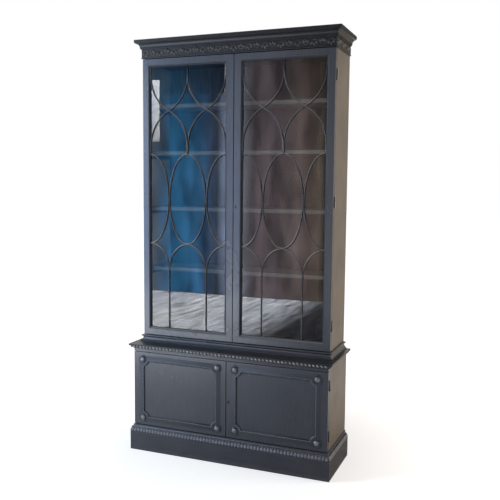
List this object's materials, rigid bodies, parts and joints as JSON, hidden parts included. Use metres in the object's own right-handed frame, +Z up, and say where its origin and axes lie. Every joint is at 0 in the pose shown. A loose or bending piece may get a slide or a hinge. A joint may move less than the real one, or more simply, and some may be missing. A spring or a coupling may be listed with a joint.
{
  "type": "glazed bookcase",
  "caption": "Tall painted bookcase: an upper case with hinged, astragal-glazed doors and shelves on a deeper cupboard with hinged panelled doors.",
  "frame": {"origin": "on the floor under the middle of the whole piece", "axes": "+Z up, +X to the right seen from the front, the doors face -Y"},
  "size_m": [1.13, 0.376, 2.2],
  "materials": {
    "case_paint": "satin paint",
    "door_paint": "satin paint",
    "moulding_paint": "satin paint, worn edges",
    "inner_paint": "matt paint",
    "glass": "clear",
    "hinge_steel": "aged",
    "brass": "aged"
  },
  "bodies": {
    "case": {"plinth_frame": "moulding_paint", "plinth_moulding": "moulding_paint", "base_side_left": "case_paint", "base_side_right": "case_paint", "base_bottom": "inner_paint", "base_bottom_rail": "case_paint", "base_top_rail": "case_paint", "base_back": "inner_paint", "base_shelf": "inner_paint", "ledge_board": "moulding_paint", "ledge_moulding": "moulding_paint", "ledge_bead_strip": "moulding_paint", "shelf_1": "inner_paint", "shelf_2": "inner_paint", "shelf_3": "inner_paint", "shelf_4": "inner_paint", "upper_side_left": "case_paint", "upper_side_right": "case_paint", "upper_bottom": "inner_paint", "upper_top": "inner_paint", "upper_back": "inner_paint", "upper_foot_rail": "case_paint", "upper_head_rail": "case_paint", "waist_moulding": "moulding_paint", "frieze": "moulding_paint", "cornice": "moulding_paint", "shelf_bearers": "inner_paint", "hinge_case_leaves": "hinge_steel"},
    "upper_left_door": {"upper_left_frame": "door_paint", "upper_left_glass_moulding": "moulding_paint", "upper_left_glass": "glass", "upper_left_tracery": "moulding_paint", "upper_left_glazing_beads": "door_paint", "upper_left_hinge_leaves": "hinge_steel", "upper_door_bolt_plate": "brass"},
    "lower_left_door": {"lower_left_frame": "door_paint", "lower_left_panel": "door_paint", "lower_left_panel_moulding": "moulding_paint", "lower_left_rosettes": "moulding_paint", "lower_left_hinge_leaves": "hinge_steel", "lower_door_bolt_plate": "brass"},
    "upper_right_door": {"upper_right_frame": "door_paint", "upper_right_glass_moulding": "moulding_paint", "upper_right_glass": "glass", "upper_right_tracery": "moulding_paint", "upper_right_glazing_beads": "door_paint", "upper_right_hinge_leaves": "hinge_steel", "upper_lock": "brass"},
    "lower_right_door": {"lower_right_frame": "door_paint", "lower_right_panel": "door_paint", "lower_right_panel_moulding": "moulding_paint", "lower_right_rosettes": "moulding_paint", "lower_right_hinge_leaves": "hinge_steel", "lower_lock": "brass"},
    "upper_lock_bolt": {"upper_lock_bolt": "brass"},
    "lower_lock_bolt": {"lower_lock_bolt": "brass"},
    "upper_door_bolt": {"upper_door_bolt": "brass"},
    "lower_door_bolt": {"lower_door_bolt": "brass"}
  },
  "joints": [
    {"name": "upper_left_hinge", "type": "hinge", "parent": "case", "child": "upper_left_door", "pos_m": [-0.5303, -0.0625, 1.363], "axis": [0, 0, -1], "range_deg": [0, 180]},
    {"name": "upper_right_hinge", "type": "hinge", "parent": "case", "child": "upper_right_door", "pos_m": [0.5303, -0.0625, 1.363], "axis": [0, 0, 1], "range_deg": [0, 180]},
    {"name": "upper_lock_slide", "type": "slide", "parent": "upper_right_door", "child": "upper_lock_bolt", "axis": [-1, 0, 0], "range_m": [0, 0.009]},
    {"name": "upper_bolt_slide", "type": "slide", "parent": "upper_left_door", "child": "upper_door_bolt", "axis": [0, 0, -1], "range_m": [0, 0.012]},
    {"name": "lower_left_hinge", "type": "hinge", "parent": "case", "child": "lower_left_door", "pos_m": [-0.5463, -0.1415, 0.341], "axis": [0, 0, -1], "range_deg": [0, 180]},
    {"name": "lower_right_hinge", "type": "hinge", "parent": "case", "child": "lower_right_door", "pos_m": [0.5463, -0.1415, 0.341], "axis": [0, 0, 1], "range_deg": [0, 180]},
    {"name": "lower_lock_slide", "type": "slide", "parent": "lower_right_door", "child": "lower_lock_bolt", "axis": [-1, 0, 0], "range_m": [0, 0.009]},
    {"name": "lower_bolt_slide", "type": "slide", "parent": "lower_left_door", "child": "lower_door_bolt", "axis": [0, 0, -1], "range_m": [0, 0.012]}
  ]
}
